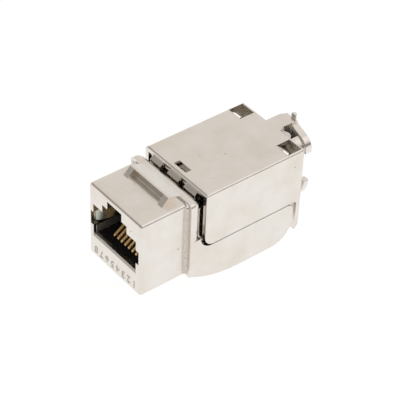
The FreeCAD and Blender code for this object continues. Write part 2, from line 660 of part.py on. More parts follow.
def shield_spring(side):
    """A bowed strip in the side pocket that touches the plug's shield."""
    sign = "-" if side == "left" else ""
    body = new_body("shield_spring_" + side)
    back = "(%s - spring_play)" % POCKET_HALF
    curve = "((spring_length ^ 2 / 4 + spring_bow ^ 2) / (2 * spring_bow))"
    far = "(spring_start + spring_length)"
    strip = [
        ("%s(%s)" % (sign, back), "spring_start"),
        ("%s(%s)" % (sign, back), far, curve, "right" if side == "right" else "left"),
        ("%s(%s - spring_thick)" % (sign, back), far),
        ("%s(%s - spring_thick)" % (sign, back), "spring_start", curve,
         "left" if side == "right" else "right"),
    ]
    middle = "((spring_pocket_floor + spring_pocket_roof) / 2)"
    extrude(body, "Pad", "top", "%s - spring_height / 2" % middle,
            "%s + spring_height / 2" % middle, [strip])
    return body


def circuit_board():
    """The board that joins the contacts to the wire terminals."""
    body = new_body("circuit_board")
    low = "(board_top - board_thick)"
    extrude(body, "Pad", "top", low, "board_top",
            [box_corners("-" + BOARD_HALF, BOARD_HALF, "board_start", "board_end")])
    half_x = "(contact_width / 2 + hole_play)"
    half_y = "(contact_thick / 2 + hole_play)"
    holes = []
    for index in range(8):
        x = contact_place(index)
        holes.append(box_corners("%s - %s" % (x, half_x), "%s + %s" % (x, half_x),
                                 "contact_tail - %s" % half_y, "contact_tail + %s" % half_y))
        holes.append(blade_box(index, "(blade_thick / 2 + hole_play)",
                               "(blade_tail_half + hole_play)"))
    extrude(body, "Pocket", "top", low, "board_top", holes)
    return body


def idc_block():
    """The terminal block: two combs beside the channel for the cable pairs."""
    body = new_body("idc_block")
    half = BLOCK_HALF
    profile = [
        ("-" + half, "board_top"), (half, "board_top"), (half, "block_top"),
        ("channel_half", "block_top"), ("channel_half", "block_base"),
        ("-channel_half", "block_base"), ("-channel_half", "block_top"),
        ("-" + half, "block_top"),
    ]
    extrude(body, "Pad", "front", "block_start", "block_end", [profile])
    slots = []
    for index in range(4):
        y = blade_place(index)[1]
        slots.append(box_corners("%s - wire_slot / 2" % y, "%s + wire_slot / 2" % y,
                                 "block_top - wire_slot_depth", "block_top"))
    extrude(body, "Pocket", "side", "-" + half, half, slots)
    seats = [blade_box(index, "(blade_thick / 2 + blade_play)", "(blade_width / 2 + blade_play)")
             for index in range(8)]
    extrude(body, "Pocket", "top", "board_top", "block_top", seats)
    return body


def idc(index):
    """One insulation-displacement terminal: a forked blade with a tail."""
    body = new_body("idc_%d" % (index + 1))
    x, y = blade_place(index)
    right = [
        ("blade_tail_half", "board_top - board_thick - tail_length"),
        ("blade_tail_half", "board_top + blade_lift"),
        ("blade_width / 2", "board_top + blade_lift"),
        ("blade_width / 2", "blade_top - blade_shoulder"),
        ("(blade_width / 2 - blade_slope)", "blade_top"),
        ("(blade_slot / 2 + blade_mouth)", "blade_top"),
        ("blade_slot / 2", "blade_top - blade_mouth_depth"),
        ("blade_slot / 2", "blade_top - blade_slot_depth"),
    ]
    outline = [("%s + %s" % (y, a), z) for a, z in right]
    outline += [("%s - %s" % (y, a), z) for a, z in reversed(right)]
    extrude(body, "Pad", "side", "%s - blade_thick / 2" % x, "%s + blade_thick / 2" % x, [outline])
    return body


def wire_manager():
    """The plastic cap inside the cover that presses the wires into the terminals."""
    body = new_body("wire_manager")
    half = MANAGER_HALF
    profile = [
        (half, "manager_bottom"), (half, ROOF), ("-" + half, ROOF), ("-" + half, "manager_bottom"),
        ("-manager_bore", "manager_bottom"),
        ("0", "manager_bottom + manager_bore", "manager_bore", "right"),
        ("manager_bore", "manager_bottom", "manager_bore", "right"),
    ]
    extrude(body, "Pad", "front", "manager_start", "manager_end", [profile])
    grooves = []
    for side in ("-", ""):
        x = "(%s%s)" % (side, BLADE_ROW)
        grooves.append(box_corners("%s - groove_half" % x, "%s + groove_half" % x,
                                   "manager_start", "manager_end - groove_end_wall"))
    extrude(body, "Pocket", "top", "manager_bottom", "manager_bottom + groove_depth", grooves)
    return body


def keystone_latch():
    """The spring-steel latch under the nose, hooked into its slot."""
    body = new_body("keystone_latch")
    back = "(latch_root + latch_steel)"
    strip = [
        ("latch_root", "latch_root_height"),
        ("latch_root", "-latch_drop - latch_steel"),
        ("latch_bend", "-latch_drop - latch_steel"),
        ("latch_low_place", "-latch_low - latch_steel"),
        ("latch_tip", "-latch_tip_drop - latch_steel"),
        ("latch_tip", "-latch_tip_drop"),
        ("latch_low_place", "-latch_low"),
        ("latch_bend", "-latch_drop"),
        (back, "-latch_drop"),
        (back, "latch_root_height"),
    ]
    extrude(body, "Pad", "side", "-latch_width / 2", "latch_width / 2", [strip])
    return body


def check_document():
    """Stop if any object of the document has failed."""
    for item in doc.Objects:
        if "Invalid" in item.State or "Error" in item.State:
            raise RuntimeError("%s failed: %s" % (item.Label, item.State))


def export(pieces):
    """Write each piece to a file of its own."""
    os.makedirs("parts", exist_ok=True)
    for piece in pieces:
        shape = piece.Shape
        if shape.isNull() or not shape.isValid() or not shape.Solids:
            raise RuntimeError("%s has no valid shape" % piece.Label)
    for piece in pieces:
        piece.Shape.exportStep("parts/%s.step" % piece.Label)


pieces = [front_housing(), top_cover(), hinge_pin(), jack_insert(), circuit_board(), idc_block(),
          wire_manager(), keystone_latch(), shield_spring("left"), shield_spring("right")]
pieces += [contact(index) for index in range(8)]
pieces += [idc(index) for index in range(8)]
doc.recompute()
check_document()
export(pieces)
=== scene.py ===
"""Looks of a shielded keystone jack: plated casting, plastics, contacts and studio."""
import math

import bmesh
import bpy
from bpy.props import FloatProperty, FloatVectorProperty, PointerProperty, StringProperty
from mathutils import Matrix, Vector


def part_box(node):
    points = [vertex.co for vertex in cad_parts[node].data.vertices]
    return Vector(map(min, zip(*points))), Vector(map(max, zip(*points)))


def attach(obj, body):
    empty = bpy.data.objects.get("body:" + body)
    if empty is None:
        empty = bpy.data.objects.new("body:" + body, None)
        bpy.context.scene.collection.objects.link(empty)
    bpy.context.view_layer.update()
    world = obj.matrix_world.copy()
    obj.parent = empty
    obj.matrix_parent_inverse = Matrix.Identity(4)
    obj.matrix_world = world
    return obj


bl_info = {
    "name": "Keystone Jack Looks",
    "version": (1, 0, 0),
    "blender": (4, 5, 0),
    "location": "View3D > Sidebar > Jack",
    "description": "Finishes and studio for a shielded keystone jack",
    "category": "Object",
}

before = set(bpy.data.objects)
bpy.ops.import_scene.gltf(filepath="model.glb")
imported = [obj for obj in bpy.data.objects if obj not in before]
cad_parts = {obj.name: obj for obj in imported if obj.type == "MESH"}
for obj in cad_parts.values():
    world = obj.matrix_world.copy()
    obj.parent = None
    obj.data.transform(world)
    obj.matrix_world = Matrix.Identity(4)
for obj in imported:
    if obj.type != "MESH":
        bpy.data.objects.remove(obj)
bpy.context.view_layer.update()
MM = 0.001

# places on the solids, in millimetres of the jack's own axes
NOSE_HALF = 7.25
NOSE_BOTTOM = 2.7
COLLAR_FRONT = -9.9
CONTACT_THICK = 0.35
COVER_TOP = 19.19
WINDOW_FRONT = 11.2
WINDOW_LIP_SLOPE = 0.35 / 0.85
TIE_SLOT_FRONT = 15.35
FLANK_TOP = COVER_TOP - 0.79
FLANK_SLOPE = 0.4444
OPENING_HALF = 6.0

# lining of the plug opening's side walls, front to back and bottom to top
LINING_ALONG = (-18.9, -10.3)
LINING_RISE = (7.55, 9.2)

# punched lips, thin pieces whose pale colour paints a highlight: name, left end, right end, front
# edge, length, height at the front's left end, fall towards the rear, fall towards the right, and
# their finish
PUNCHED_LIPS = (
    ("left_window_lip", -7.0, -5.05, WINDOW_FRONT, 1.05, COVER_TOP, WINDOW_LIP_SLOPE, 0.0,
     "nickel_with_painted_highlight"),
    ("right_window_lip", 4.8, 7.85, WINDOW_FRONT, 1.05, COVER_TOP, WINDOW_LIP_SLOPE, 0.0,
     "nickel_with_painted_highlight"),
    ("tie_slot_lip", 1.8, 3.4, TIE_SLOT_FRONT, 1.05, FLANK_TOP, 0.0, FLANK_SLOPE,
     "white_painted_highlight"))
LIP_SKIN = (0.01, 0.03)

# levels of the room and the floor, linear: the ceiling is dark at the front and pale at the rear
WHITE = (1.0, 1.0, 1.0, 1.0)
DARK_CEILING = (0.32, 0.30, 0.28, 1.0)
PALE_CEILING = (0.81, 0.775, 0.75, 1.0)
DOORWAY = (0.12, 0.11, 0.1, 1.0)
FLOOR_GLOW = 1.08
FLOOR_GLOW_SHARE = 0.88


# ---------------------------------------------------------------- settings

class FinishSettings(bpy.types.PropertyGroup):
    """Colours and surface sizes of the jack's materials."""
    nickel: StringProperty(name="Nickel", description="Plating colour, sRGB hex", default="EBE6E0")
    nickel_tarnish: StringProperty(name="Tarnish", description="Duller plating, sRGB hex",
                                   default="E3DCD2")
    grain: FloatProperty(name="Casting grain", description="Size of the duller grains in mm",
                         default=0.35, min=0.05)
    speck: StringProperty(name="Specks", description="Colour of the handling marks, sRGB hex",
                          default="6E675E")
    # painted shade: the relief colour is darker than the plating to paint the shade on the
    # numerals' slopes
    relief: StringProperty(name="Relief", description="Dull plating, sRGB hex", default="C2BAAF")
    # painted shade: the corner colour is darker than the plating to paint the shade in the inner
    # corners
    corner: StringProperty(name="Corner", description="Inner corners, sRGB hex", default="D9D0C6")
    speck_spacing: FloatProperty(name="Speck spacing", description="About how far apart, in mm",
                                 default=2.2, min=0.2)
    # painted highlight: the pale colour of the punched lips paints their white highlight
    lip_highlight: StringProperty(name="Burnished nickel", description="Polished plating, sRGB hex",
                              default="F7F3ED")
    gold: StringProperty(name="Gold", description="Contact plating, sRGB hex", default="FFD592")
    insert_black: StringProperty(name="Insert", description="Black plastic, sRGB hex",
                                 default="17161A")
    manager_white: StringProperty(name="Manager", description="White plastic, sRGB hex",
                                  default="E4E2DA")
    board_green: StringProperty(name="Board", description="Solder mask, sRGB hex", default="1E5A38")


class DetailSettings(bpy.types.PropertyGroup):
    """Sizes and places of the small details, in millimetres."""
    numeral_size: FloatProperty(name="Numerals", description="Height of a line of type, in mm",
                                default=2.1, min=0.2)
    numeral_spacing: FloatProperty(name="Numeral spacing", description="Type spacing factor",
                                   default=0.96, min=0.5)
    numeral_relief: FloatProperty(name="Relief", description="How far the numerals stand out, mm",
                                  default=0.04, min=0.0)
    numeral_line: FloatProperty(name="Base line", description="Height of the base line, in mm",
                                default=5.15)
    fillet_side: FloatProperty(name="Fillet on the collar", description="Width in mm", default=0.8)
    fillet_nose: FloatProperty(name="Fillet on the nose", description="Length in mm", default=0.75)
    solder_radius: FloatProperty(name="Solder joint", description="Radius in mm", default=0.42)
    mark_length: FloatProperty(name="Mark length", description="Across the block, in mm",
                               default=1.0)
    mark_width: FloatProperty(name="Mark width", description="Along the block, in mm", default=0.8)
    mark_thickness: FloatProperty(name="Ink", description="Thickness of the ink, in mm",
                                  default=0.04)
    mark_side: FloatProperty(name="Mark place", description="From the block's middle, in mm",
                             default=4.05)
    mark_offset: FloatProperty(name="Mark offset", description="Behind the wire slot, in mm",
                               default=1.1)


class StageSettings(bpy.types.PropertyGroup):
    """Camera, light and floor."""
    azimuth: FloatProperty(name="Azimuth", description="Camera angle round the jack",
                           default=math.radians(50.108), subtype="ANGLE")
    elevation: FloatProperty(name="Elevation", description="Camera angle above the floor",
                             default=math.radians(40.102), subtype="ANGLE")
    roll: FloatProperty(name="Roll", description="Camera turn about its own axis",
                        default=math.radians(2.395), subtype="ANGLE")
    distance: FloatProperty(name="Distance", description="Camera to aim point",
                            default=0.2768, subtype="DISTANCE")
    aim: FloatVectorProperty(name="Aim", description="Point that the camera looks at",
                             default=(0.00065, -0.00177, 0.01073), subtype="XYZ_LENGTH")
    lens: FloatProperty(name="Lens", description="Focal length in mm", default=144.53)
    floor_size: FloatProperty(name="Floor", description="Side of the floor", default=3.0,
                              subtype="DISTANCE")


# ---------------------------------------------------------------- materials

def linear(hex_colour):
    """An sRGB hex colour as linear red, green, blue and alpha."""
    parts = [int(hex_colour[i:i + 2], 16) / 255 for i in (0, 2, 4)]
    levels = [c / 12.92 if c <= 0.04045 else ((c + 0.055) / 1.055) ** 2.4 for c in parts]
    return (*levels, 1.0)


def add_node(tree, kind, settings=None, inputs=None):
    """Add a node with its settings; an input is a value or another node's socket."""
    node = tree.nodes.new(kind)
    for name, value in (settings or {}).items():
        setattr(node, name, value)
    for name, value in (inputs or {}).items():
        if isinstance(value, bpy.types.NodeSocket):
            tree.links.new(value, node.inputs[name])
        else:
            node.inputs[name].default_value = value
    return node


def new_material(name):
    """An empty node material with its output; returns material, tree and output."""
    material = bpy.data.materials.new(name)
    material.use_nodes = True
    tree = material.node_tree
    tree.nodes.clear()
    return material, tree, tree.nodes.new("ShaderNodeOutputMaterial")


def object_point(tree):
    """The surface point in the jack's own axes."""
    return tree.nodes.new("ShaderNodeTexCoord").outputs["Object"]


def noise(tree, point, size_mm, detail=3.0):
    """Noise whose features are about the given size in millimetres."""
    return add_node(tree, "ShaderNodeTexNoise", {}, {
        "Vector": point, "Scale": 1 / (size_mm * MM), "Detail": detail, "Roughness": 0.55})


def spread(tree, value, low, high, to_low, to_high):
    """Stretch a part of a value's range to another range."""
    return add_node(tree, "ShaderNodeMapRange", {}, {
        "Value": value, "From Min": low, "From Max": high, "To Min": to_low, "To Max": to_high})


def mixed(tree, factor, first, second):
    """A colour between two colours."""
    node = add_node(tree, "ShaderNodeMix", {"data_type": "RGBA"})
    for index, value in ((0, factor), (6, first), (7, second)):
        if isinstance(value, bpy.types.NodeSocket):
            tree.links.new(value, node.inputs[index])
        else:
            node.inputs[index].default_value = value
    return node.outputs[2]


def bump(tree, height, depth_mm):
    """A surface normal raised by a height."""
    return add_node(tree, "ShaderNodeBump", {}, {
        "Height": height, "Distance": depth_mm * MM}).outputs["Normal"]


def soft_edges(tree, radius_mm):
    """A surface normal that turns smoothly round each edge."""
    return add_node(tree, "ShaderNodeBevel", {"samples": 6}, {
        "Radius": radius_mm * MM}).outputs["Normal"]


def nickel_plated_zinc(look):
    """Nickel-plated zinc die casting.

    Tumbled and plated: satin and nearly even, with slow waves in the reflections
    from the tool's surface, warmer patches of thin plating, and small handling marks.
    """
    material, tree, output = new_material("nickel_plated_zinc")
    point = object_point(tree)
    patches = noise(tree, point, 5.0, detail=4.0)
    tint = spread(tree, patches.outputs["Fac"], 0.35, 0.7, 0.0, 1.0)
    plating = mixed(tree, tint.outputs["Result"], linear(look.nickel), linear(look.nickel_tarnish))
    specks = add_node(tree, "ShaderNodeTexVoronoi", {}, {
        "Vector": point, "Scale": 1 / (look.speck_spacing * MM), "Randomness": 1.0})
    speck = spread(tree, specks.outputs["Distance"], 0.04, 0.075, 1.0, 0.0)
    rare = spread(tree, patches.outputs["Fac"], 0.44, 0.5, 0.0, 0.9)
    marked = add_node(tree, "ShaderNodeMath", {"operation": "MULTIPLY"}, {
        0: speck.outputs["Result"], 1: rare.outputs["Result"]})
    colour = mixed(tree, marked.outputs[0], plating, linear(look.speck))
    grain = noise(tree, point, look.grain, detail=2.0)
    dull = spread(tree, grain.outputs["Fac"], 0.3, 0.7, 0.2, 0.26)
    waves = noise(tree, point, 3.0, detail=1.0)
    flow = add_node(tree, "ShaderNodeBump", {}, {
        "Height": waves.outputs["Fac"], "Distance": 0.03 * MM, "Normal": soft_edges(tree, 0.12)})
    shader = add_node(tree, "ShaderNodeBsdfPrincipled", {}, {
        "Base Color": colour, "Metallic": 1.0, "Roughness": dull.outputs["Result"],
        "Normal": flow.outputs["Normal"]})
    tree.links.new(shader.outputs["BSDF"], output.inputs["Surface"])
    return material


def nickel_with_painted_highlight(name, look, metallic):
    """A smooth surface for the punched lips, paler than the satin round it: the pale colour paints
    the lips' white highlight, wholly so where the metallic share is low.
    """
    material, tree, output = new_material(name)
    rub = noise(tree, object_point(tree), 0.3, detail=2.0)
    dull = spread(tree, rub.outputs["Fac"], 0.3, 0.7, 0.05, 0.15)
    shader = add_node(tree, "ShaderNodeBsdfPrincipled", {}, {
        "Base Color": linear(look.lip_highlight), "Metallic": metallic,
        "Roughness": dull.outputs["Result"]})
    tree.links.new(shader.outputs["BSDF"], output.inputs["Surface"])
    return material


def bright_steel(name, hex_colour, roughness):
    """Drawn or rolled steel: bright, with fine marks along the strip."""
    material, tree, output = new_material(name)
    point = object_point(tree)
    stretch = add_node(tree, "ShaderNodeMapping", {}, {"Vector": point, "Scale": (1.0, 0.08, 1.0)})
    marks = noise(tree, stretch.outputs["Vector"], 0.15, detail=2.0)
    dull = spread(tree, marks.outputs["Fac"], 0.3, 0.7, roughness - 0.05, roughness + 0.08)
    shader = add_node(tree, "ShaderNodeBsdfPrincipled", {}, {
        "Base Color": linear(hex_colour), "Metallic": 1.0, "Roughness": dull.outputs["Result"],
        "Normal": bump(tree, marks.outputs["Fac"], 0.002)})
    tree.links.new(shader.outputs["BSDF"], output.inputs["Surface"])
    return material


def plated_bronze(name, hex_colour, roughness, metallic=1.0):
    """Plated phosphor bronze: polished along rolled edges, darker in small spots."""
    material, tree, output = new_material(name)
    spots = noise(tree, object_point(tree), 0.4, detail=3.0)
    shade = spread(tree, spots.outputs["Fac"], 0.45, 0.75, 0.0, 0.3)
    base = linear(hex_colour)
    darker = tuple(c * 0.7 for c in base[:3]) + (1.0,)
    surface = add_node(tree, "ShaderNodeBump", {}, {
        "Height": spots.outputs["Fac"], "Distance": 0.002 * MM, "Normal": soft_edges(tree, 0.1)})
    shader = add_node(tree, "ShaderNodeBsdfPrincipled", {}, {
        "Base Color": mixed(tree, shade.outputs["Result"], base, darker), "Metallic": metallic,
        "Roughness": roughness, "Normal": surface.outputs["Normal"]})
    tree.links.new(shader.outputs["BSDF"], output.inputs["Surface"])
    return material


def moulded_plastic(name, hex_colour, roughness, grain_mm=0.12):
    """Injection-moulded plastic with a fine spark-eroded grain."""
    material, tree, output = new_material(name)
    point = object_point(tree)
    grain = noise(tree, point, grain_mm, detail=2.0)
    patches = noise(tree, point, 3.0, detail=2.0)
    tone = spread(tree, patches.outputs["Fac"], 0.3, 0.7, 0.0, 0.25)
    base = linear(hex_colour)
    lighter = tuple(min(1.0, c * 1.35 + 0.004) for c in base[:3]) + (1.0,)
    dull = spread(tree, grain.outputs["Fac"], 0.3, 0.7, roughness - 0.06, roughness + 0.08)
    shader = add_node(tree, "ShaderNodeBsdfPrincipled", {}, {
        "Base Color": mixed(tree, tone.outputs["Result"], base, lighter), "IOR": 1.5,
        "Roughness": dull.outputs["Result"], "Normal": bump(tree, grain.outputs["Fac"], 0.004)})
    tree.links.new(shader.outputs["BSDF"], output.inputs["Surface"])
    return material


def cast_relief(name, hex_colour, look, dirt_and_shade):
    """Small forms of a casting in a darker colour that paints the shade on their slopes and in
    corners, with dirt gathered in spots.
    """
    material, tree, output = new_material(name)
    # the given darker colour paints shade on the small forms; the noise spots darken them further,
    # partly dirt and partly painted shade
    grime_and_shade = noise(tree, object_point(tree), 0.3, detail=3.0)
    dirt_and_shade_mix = spread(tree, grime_and_shade.outputs["Fac"], 0.45, 0.7, 0.0, dirt_and_shade)
    colour = mixed(tree, dirt_and_shade_mix.outputs["Result"], linear(hex_colour), linear(look.speck))
    shader = add_node(tree, "ShaderNodeBsdfPrincipled", {}, {
        "Base Color": colour, "Metallic": 1.0, "Roughness": 0.4,
        "Normal": bump(tree, grime_and_shade.outputs["Fac"], 0.004)})
    tree.links.new(shader.outputs["BSDF"], output.inputs["Surface"])
    return material


def soft_solder():
    """Reflowed tin solder: smooth and bright, slightly frosted where it cooled."""
    material, tree, output = new_material("reflowed_tin_solder")
    frost = noise(tree, object_point(tree), 0.2, detail=3.0)
    dull = spread(tree, frost.outputs["Fac"], 0.35, 0.65, 0.12, 0.35)
    shader = add_node(tree, "ShaderNodeBsdfPrincipled", {}, {
        "Base Color": linear("DCDCD8"), "Metallic": 1.0, "Roughness": dull.outputs["Result"],
        "Normal": bump(tree, frost.outputs["Fac"], 0.004)})
    tree.links.new(shader.outputs["BSDF"], output.inputs["Surface"])
    return material


def printed_marks(first_mm, pitch_mm):
    """Pad-printed pair colours: blue, orange, green and brown, one after the other."""
    material, tree, output = new_material("pad_printed_ink")
    point = object_point(tree)
    place = add_node(tree, "ShaderNodeSeparateXYZ", {}, {0: point})
    first, last = first_mm * MM, (first_mm + 4 * pitch_mm) * MM
    along = spread(tree, place.outputs["Y"], first, last, 0.0, 1.0)
    ramp = add_node(tree, "ShaderNodeValToRGB", {}, {"Fac": along.outputs["Result"]})
    ramp.color_ramp.interpolation = "CONSTANT"
    inks = ("1F4FA8", "E2781E", "1E8A45", "6E4526")
    while len(ramp.color_ramp.elements) < len(inks):
        ramp.color_ramp.elements.new(0.5)
    for index, ink in enumerate(inks):
        ramp.color_ramp.elements[index].position = index / len(inks)
        ramp.color_ramp.elements[index].color = linear(ink)
    cover = noise(tree, point, 0.15, detail=3.0)
    thin = spread(tree, cover.outputs["Fac"], 0.6, 0.75, 0.0, 0.5)
    colour = mixed(tree, thin.outputs["Result"], ramp.outputs["Color"], linear("2A292C"))
    shader = add_node(tree, "ShaderNodeBsdfPrincipled", {}, {
        "Base Color": colour, "Roughness": 0.5, "Normal": bump(tree, cover.outputs["Fac"], 0.003)})
    tree.links.new(shader.outputs["BSDF"], output.inputs["Surface"])
    return material


def dress(names, material):
    """Give a material to CAD nodes."""
    for name in names:
        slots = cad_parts[name].data.materials
        slots.clear()
        slots.append(material)


# ---------------------------------------------------------------- making pieces

def new_piece(name, mesh, body, material=None):
    """Turn a mesh into a piece of the jack that moves with a body."""
    piece = bpy.data.objects.new(name, mesh)
    bpy.context.scene.collection.objects.link(piece)
    if material:
        mesh.materials.clear()
        mesh.materials.append(material)
    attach(piece, body)
    return piece


def flat_mesh(name, corners, faces):
    """A flat-shaded mesh from corners and faces, its faces pointing outwards."""
    shape = bmesh.new()
    spots = [shape.verts.new(corner) for corner in corners]
    for face in faces:
        shape.faces.new([spots[i] for i in face])
    bmesh.ops.recalc_face_normals(shape, faces=shape.faces)
    mesh = bpy.data.meshes.new(name)
    shape.to_mesh(mesh)
    shape.free()
    return mesh


def swept_mesh(name, outline, start, end, place):
    """An outline carried from one level to another; place turns (a, b, level) to a point."""
    count = len(outline)
    corners = [place(a, b, level) for level in (start, end) for a, b in outline]
    faces = [(i, (i + 1) % count, (i + 1) % count + count, i + count) for i in range(count)]
    faces += [tuple(range(count)), tuple(range(count, 2 * count))]
    return flat_mesh(name, corners, faces)


def grown_mesh(name, tree, values):
    """The plain mesh that a Geometry Nodes tree makes with the given named inputs."""
    blank = bpy.data.objects.new(name, bpy.data.meshes.new(name + "_seed"))
    bpy.context.scene.collection.objects.link(blank)
    modifier = blank.modifiers.new("grow", "NODES")
    modifier.node_group = tree
    for item in tree.interface.items_tree:
        if item.in_out == "INPUT" and item.name in values:
            modifier[item.identifier] = values[item.name]
    solved = blank.evaluated_get(bpy.context.evaluated_depsgraph_get())
    mesh = bpy.data.meshes.new_from_object(solved)
    mesh.name = name
    bpy.data.objects.remove(blank)
    return mesh


def new_tree(name, inputs):
    """An empty geometry tree with named inputs; returns the tree and its input node."""
    tree = bpy.data.node_groups.new(name, "GeometryNodeTree")
    for label, kind, value in inputs:
        socket = tree.interface.new_socket(label, in_out="INPUT", socket_type=kind)
        if value is not None:
            socket.default_value = value
    tree.interface.new_socket("Geometry", in_out="OUTPUT", socket_type="NodeSocketGeometry")
    return tree, tree.nodes.new("NodeGroupInput").outputs


def finish_tree(tree, geometry, material):
    """Close a tree with Realize Instances and Set Material."""
    whole = add_node(tree, "GeometryNodeRealizeInstances", {}, {"Geometry": geometry})
    dressed = add_node(tree, "GeometryNodeSetMaterial", {}, {
        "Geometry": whole.outputs[0], "Material": material})
    output = tree.nodes.new("NodeGroupOutput")
    tree.links.new(dressed.outputs[0], output.inputs[0])


def numeral_tree(material):
    """Raised numerals in a row, from one upwards."""
    tree, given = new_tree("numeral_row", [
        ("Text", "NodeSocketString", "1"), ("Size", "NodeSocketFloat", 0.002),
        ("Spacing", "NodeSocketFloat", 1.0), ("Height", "NodeSocketFloat", 0.00005)])
    text = add_node(tree, "GeometryNodeStringToCurves", {"align_x": "CENTER"}, {
        "String": given["Text"], "Size": given["Size"], "Character Spacing": given["Spacing"]})
    whole = add_node(tree, "GeometryNodeRealizeInstances", {}, {"Geometry": text.outputs[0]})
    filled = add_node(tree, "GeometryNodeFillCurve", {"mode": "NGONS"}, {"Curve": whole.outputs[0]})
    raised = add_node(tree, "GeometryNodeExtrudeMesh", {}, {
        "Mesh": filled.outputs[0], "Offset Scale": given["Height"]})
    finish_tree(tree, raised.outputs["Mesh"], material)
    return tree


def row_tree(name, shape, material, inputs):
    """A row of like pieces along an axis; shape(tree, inputs) gives one of them."""
    tree, given = new_tree(name, [
        ("Count", "NodeSocketInt", 8), ("Start", "NodeSocketVector", None),
        ("Step", "NodeSocketVector", None)] + inputs)
    line = add_node(tree, "GeometryNodeMeshLine", {"mode": "OFFSET"}, {
        "Count": given["Count"], "Start Location": given["Start"], "Offset": given["Step"]})
    row = add_node(tree, "GeometryNodeInstanceOnPoints", {}, {
        "Points": line.outputs[0], "Instance": shape(tree, given)})
    finish_tree(tree, row.outputs[0], material)
    return tree


def solder_shape(tree, given):
    """A solder fillet: a low dome whose foot spreads on the board."""
    dome = add_node(tree, "GeometryNodeMeshUVSphere", {}, {
        "Segments": 16, "Rings": 8, "Radius": given["Radius"]})
    return add_node(tree, "GeometryNodeTransform", {}, {
        "Geometry": dome.outputs[0], "Scale": given["Shape"]}).outputs[0]


def mark_shape(tree, given):
    """A thin painted patch."""
    return add_node(tree, "GeometryNodeMeshCube", {}, {"Size": given["Size"]}).outputs[0]


# ---------------------------------------------------------------- operators

class JACK_OT_plating(bpy.types.Operator):
    """Plate the housing and its cover"""
    bl_idname = "jack.plating"
    bl_label = "Plated casting"

    def execute(self, context):
        look = context.scene.jack_finish
        dress(["front_housing", "top_cover"], nickel_plated_zinc(look))
        return {"FINISHED"}


class JACK_OT_steel(bpy.types.Operator):
    """Finish the hinge pin, the latch and the shield springs"""
    bl_idname = "jack.steel"
    bl_label = "Steel parts"

    def execute(self, context):
        dress(["hinge_pin"], bright_steel("drawn_steel_pin", "C9C7C2", 0.25))
        dress(["keystone_latch"], bright_steel("rolled_spring_steel", "CFCDC6", 0.28))
        dress(["shield_spring_left", "shield_spring_right"],
              bright_steel("stamped_shield_steel", "C4C6BC", 0.3))
        return {"FINISHED"}


class JACK_OT_plastics(bpy.types.Operator):
    """Finish the insert, the terminal block, the wire manager and the board"""
    bl_idname = "jack.plastics"
    bl_label = "Plastics and board"

    def execute(self, context):
        look = context.scene.jack_finish
        dress(["jack_insert", "idc_block"],
              moulded_plastic("glass_filled_pbt", look.insert_black, 0.45))
        dress(["wire_manager"],
              moulded_plastic("natural_polycarbonate", look.manager_white, 0.4))
        dress(["circuit_board"],
              moulded_plastic("solder_masked_laminate", look.board_green, 0.35, 0.3))
        return {"FINISHED"}


class JACK_OT_contacts(bpy.types.Operator):
    """Finish the contacts and the wire terminals"""
    bl_idname = "jack.contacts"
    bl_label = "Contacts"

    def execute(self, context):
        look = context.scene.jack_finish
        dress(["contact_%d" % n for n in range(1, 9)],
              plated_bronze("gold_plated_bronze", look.gold, 0.25, 0.5))
        dress(["idc_%d" % n for n in range(1, 9)],
              plated_bronze("tinned_bronze", "C8C6C0", 0.3))
        return {"FINISHED"}


class JACK_OT_numerals(bpy.types.Operator):
    """Cast the contact numbers below the plug opening, to be read with the notch down"""
    bl_idname = "jack.numerals"
    bl_label = "Contact numbers"

    def execute(self, context):
        detail = context.scene.jack_detail
        look = context.scene.jack_finish
        # the numerals' darker colour is painted shade, with dirt in spots
        tree = numeral_tree(cast_relief("shaded_nickel_relief", look.relief, look, 0.6))
        mesh = grown_mesh("contact_numbers", tree, {
            "Text": "1 2 3 4 5 6 7 8", "Size": detail.numeral_size * MM,
            "Spacing": detail.numeral_spacing, "Height": detail.numeral_relief * MM})
        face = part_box("front_housing")[0][1]
        across = [v.co.x for v in mesh.vertices]
        middle = (min(across) + max(across)) / 2
        mesh.transform(Matrix(((-1, 0, 0, middle), (0, 0, -1, face),
                               (0, -1, 0, detail.numeral_line * MM), (0, 0, 0, 1))))
        new_piece("contact_numbers", mesh, "housing")
        return {"FINISHED"}


class JACK_OT_fillets(bpy.types.Operator):
    """Fill the inner corners between the nose and the collar with the casting's fillets"""
    bl_idname = "jack.fillets"
    bl_label = "Collar fillets"

    def execute(self, context):
        detail = context.scene.jack_detail
        look = context.scene.jack_finish
        # the fillets' darker colour is painted shade in the inner corners, with dirt in spots
        plating = cast_relief("shaded_nickel_corner", look.corner, look, 0.35)
        across, along, steps, sunk = detail.fillet_side, detail.fillet_nose, 10, 0.15
        bottom, top = NOSE_BOTTOM + 0.5, NOSE_BOTTOM + 14.95
        for side, name in ((-1, "left_collar_fillet"), (1, "right_collar_fillet")):
            turns = [math.pi / 2 * i / steps for i in range(steps + 1)]
            outline = [(side * (NOSE_HALF + across * (1 - math.cos(t))),
                        COLLAR_FRONT - along * (1 - math.sin(t))) for t in turns]
            outline += [(side * (NOSE_HALF - sunk), COLLAR_FRONT + sunk)]
            mesh = swept_mesh(name, outline, bottom, top,
                              lambda a, b, level: (a * MM, b * MM, level * MM))
            mesh.polygons.foreach_set("use_smooth", [True] * len(mesh.polygons))
            mesh.set_sharp_from_angle(angle=math.radians(30))
            new_piece(name, mesh, "housing", plating)
        return {"FINISHED"}


